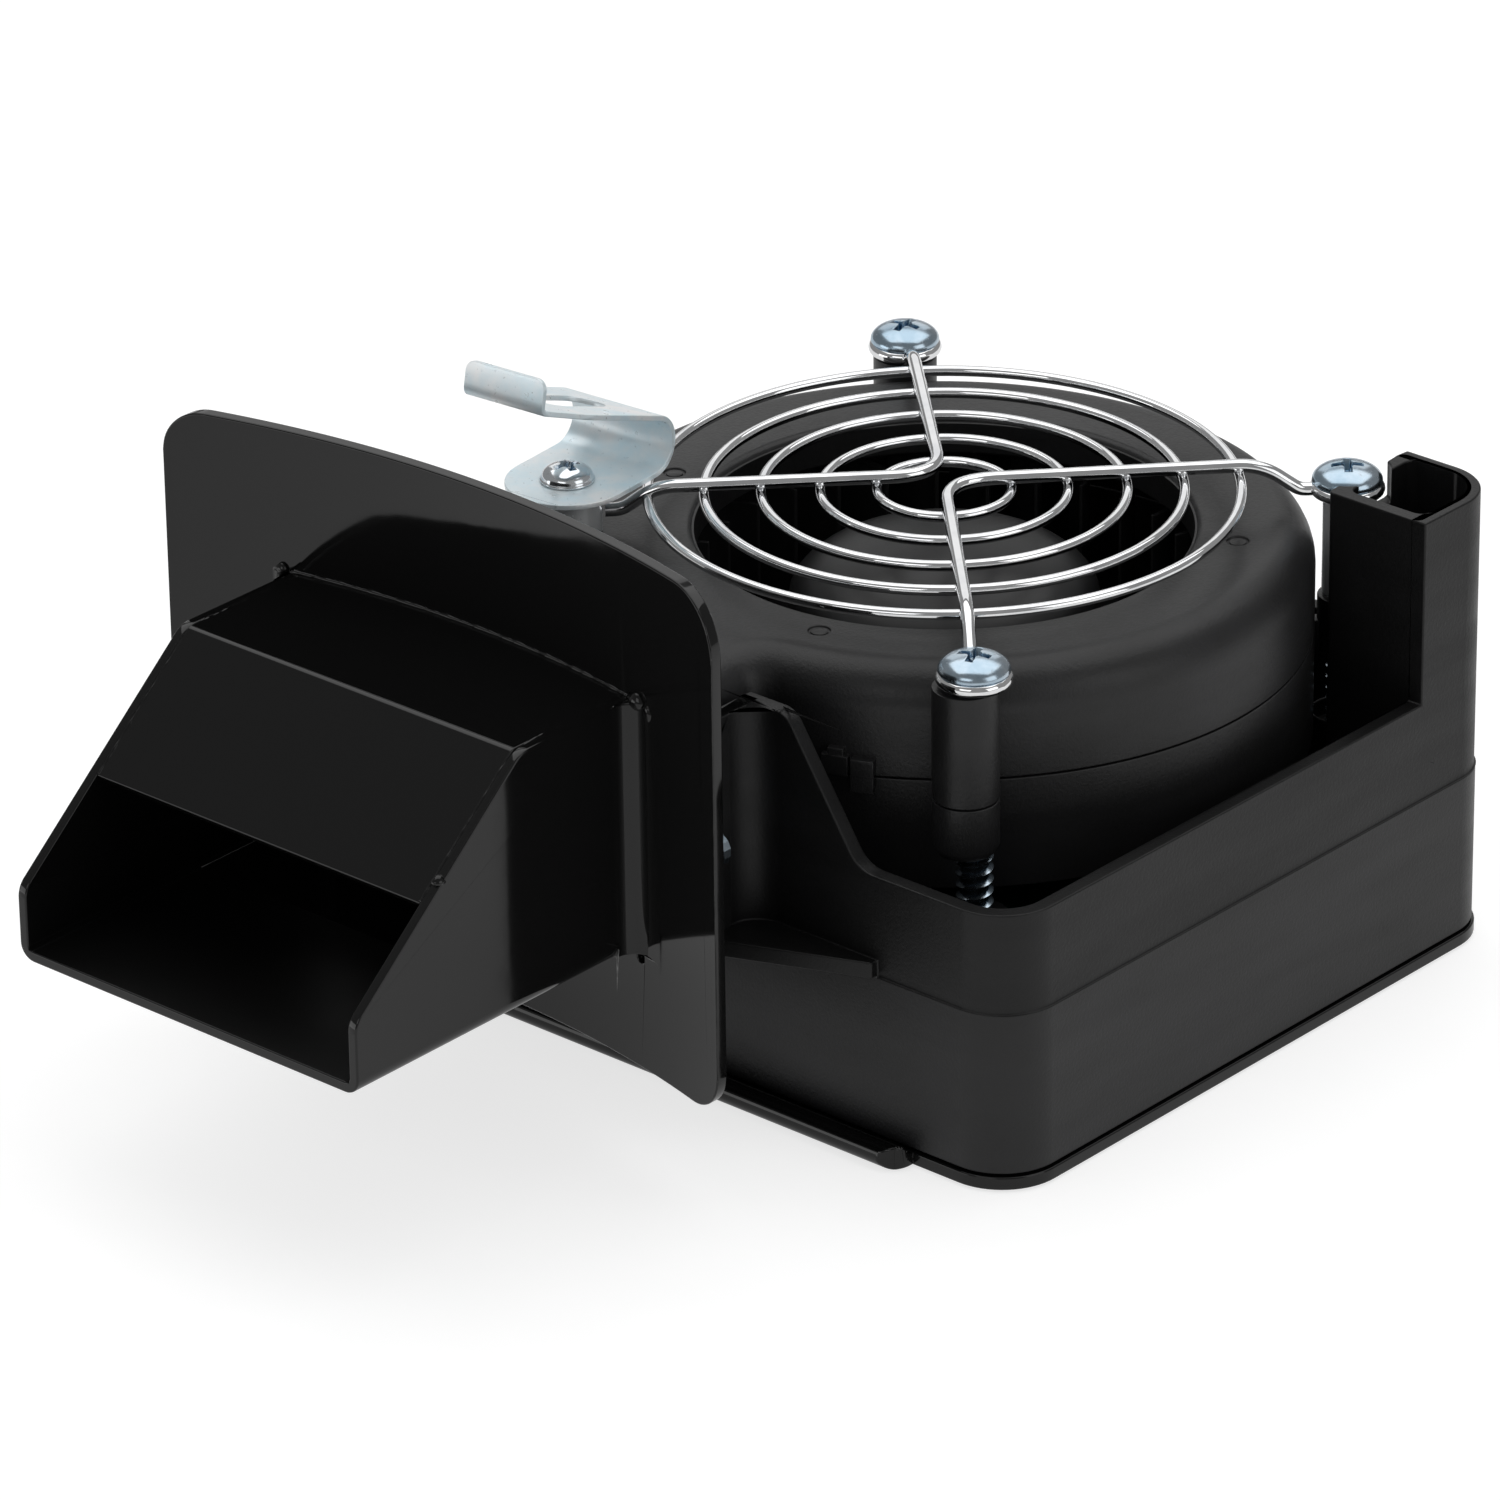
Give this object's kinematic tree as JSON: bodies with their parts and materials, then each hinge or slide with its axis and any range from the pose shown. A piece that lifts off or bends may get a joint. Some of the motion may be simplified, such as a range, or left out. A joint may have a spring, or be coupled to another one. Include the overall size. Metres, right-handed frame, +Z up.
{
  "type": "combustion fan",
  "caption": "Centrifugal combustion fan sunk in a moulded box, with a wire finger guard, a curved mounting plate and a sheet-metal outlet snout.",
  "frame": {"origin": "on the fan's axis, at the underside of the steel base", "axes": "+Z up along the fan's axis, -Y the way the air leaves through the snout, +X towards the right-hand side when looking along +Y"},
  "size_m": [0.1342, 0.194, 0.0963],
  "materials": {
    "black_sheet": "gloss black",
    "box_plastic": "fine moulded grain, black",
    "blower_plastic": "satin black",
    "wheel_plastic": "satin black",
    "chrome_wire": "bright plated",
    "zinc": "zinc plated",
    "rotor_steel": "drawn",
    "magnet": "bonded ferrite",
    "lamination": "stacked sheet",
    "copper": "enamelled copper wire",
    "bearing_steel": "ground",
    "board": "solder mask",
    "component": "moulded",
    "cable_rubber": "matte",
    "socket_nylon": "moulded nylon"
  },
  "bodies": {
    "housing": {"base_plate": "black_sheet", "box_housing": "box_plastic", "blower_lower": "blower_plastic", "blower_cover": "blower_plastic", "stator_core": "lamination", "coil_1": "copper", "coil_2": "copper", "coil_3": "copper", "coil_4": "copper", "bearing_lower": "bearing_steel", "bearing_upper": "bearing_steel", "circuit_board": "board", "transformer_block": "component", "capacitor": "component", "motor_lead": "cable_rubber", "power_lead": "cable_rubber", "power_socket": "socket_nylon", "finger_guard": "chrome_wire", "screw_front": "zinc", "screw_back": "zinc", "screw_right": "zinc", "clip_screw": "zinc", "sleeve_right": "zinc", "sleeve_clip": "zinc", "spring_clip_foot": "zinc", "flange_plate": "black_sheet", "snout_top": "black_sheet", "snout_bottom": "black_sheet", "plate_screw_right": "zinc", "plate_screw_left": "zinc", "base_screw_1": "zinc", "base_screw_2": "zinc", "base_screw_3": "zinc", "base_screw_4": "zinc"},
    "fan_wheel": {"impeller": "wheel_plastic", "rotor_cup": "rotor_steel", "magnet_ring": "magnet", "motor_shaft": "bearing_steel", "shaft_circlip": "rotor_steel"},
    "clip_arm": {"spring_clip_arm": "zinc"}
  },
  "joints": [
    {"name": "wheel_spin", "type": "hinge", "parent": "housing", "child": "fan_wheel", "pos_m": [0, 0, 0.05], "axis": [0, 0, 1], "continuous": true},
    {"name": "clip_flex", "type": "hinge", "parent": "housing", "child": "clip_arm", "pos_m": [-0.03981, -0.02814, 0.0778], "axis": [0.9962, 0.0872, 0], "range_deg": [0, 12], "stiffness_Nm_per_rad": 0.4}
  ]
}
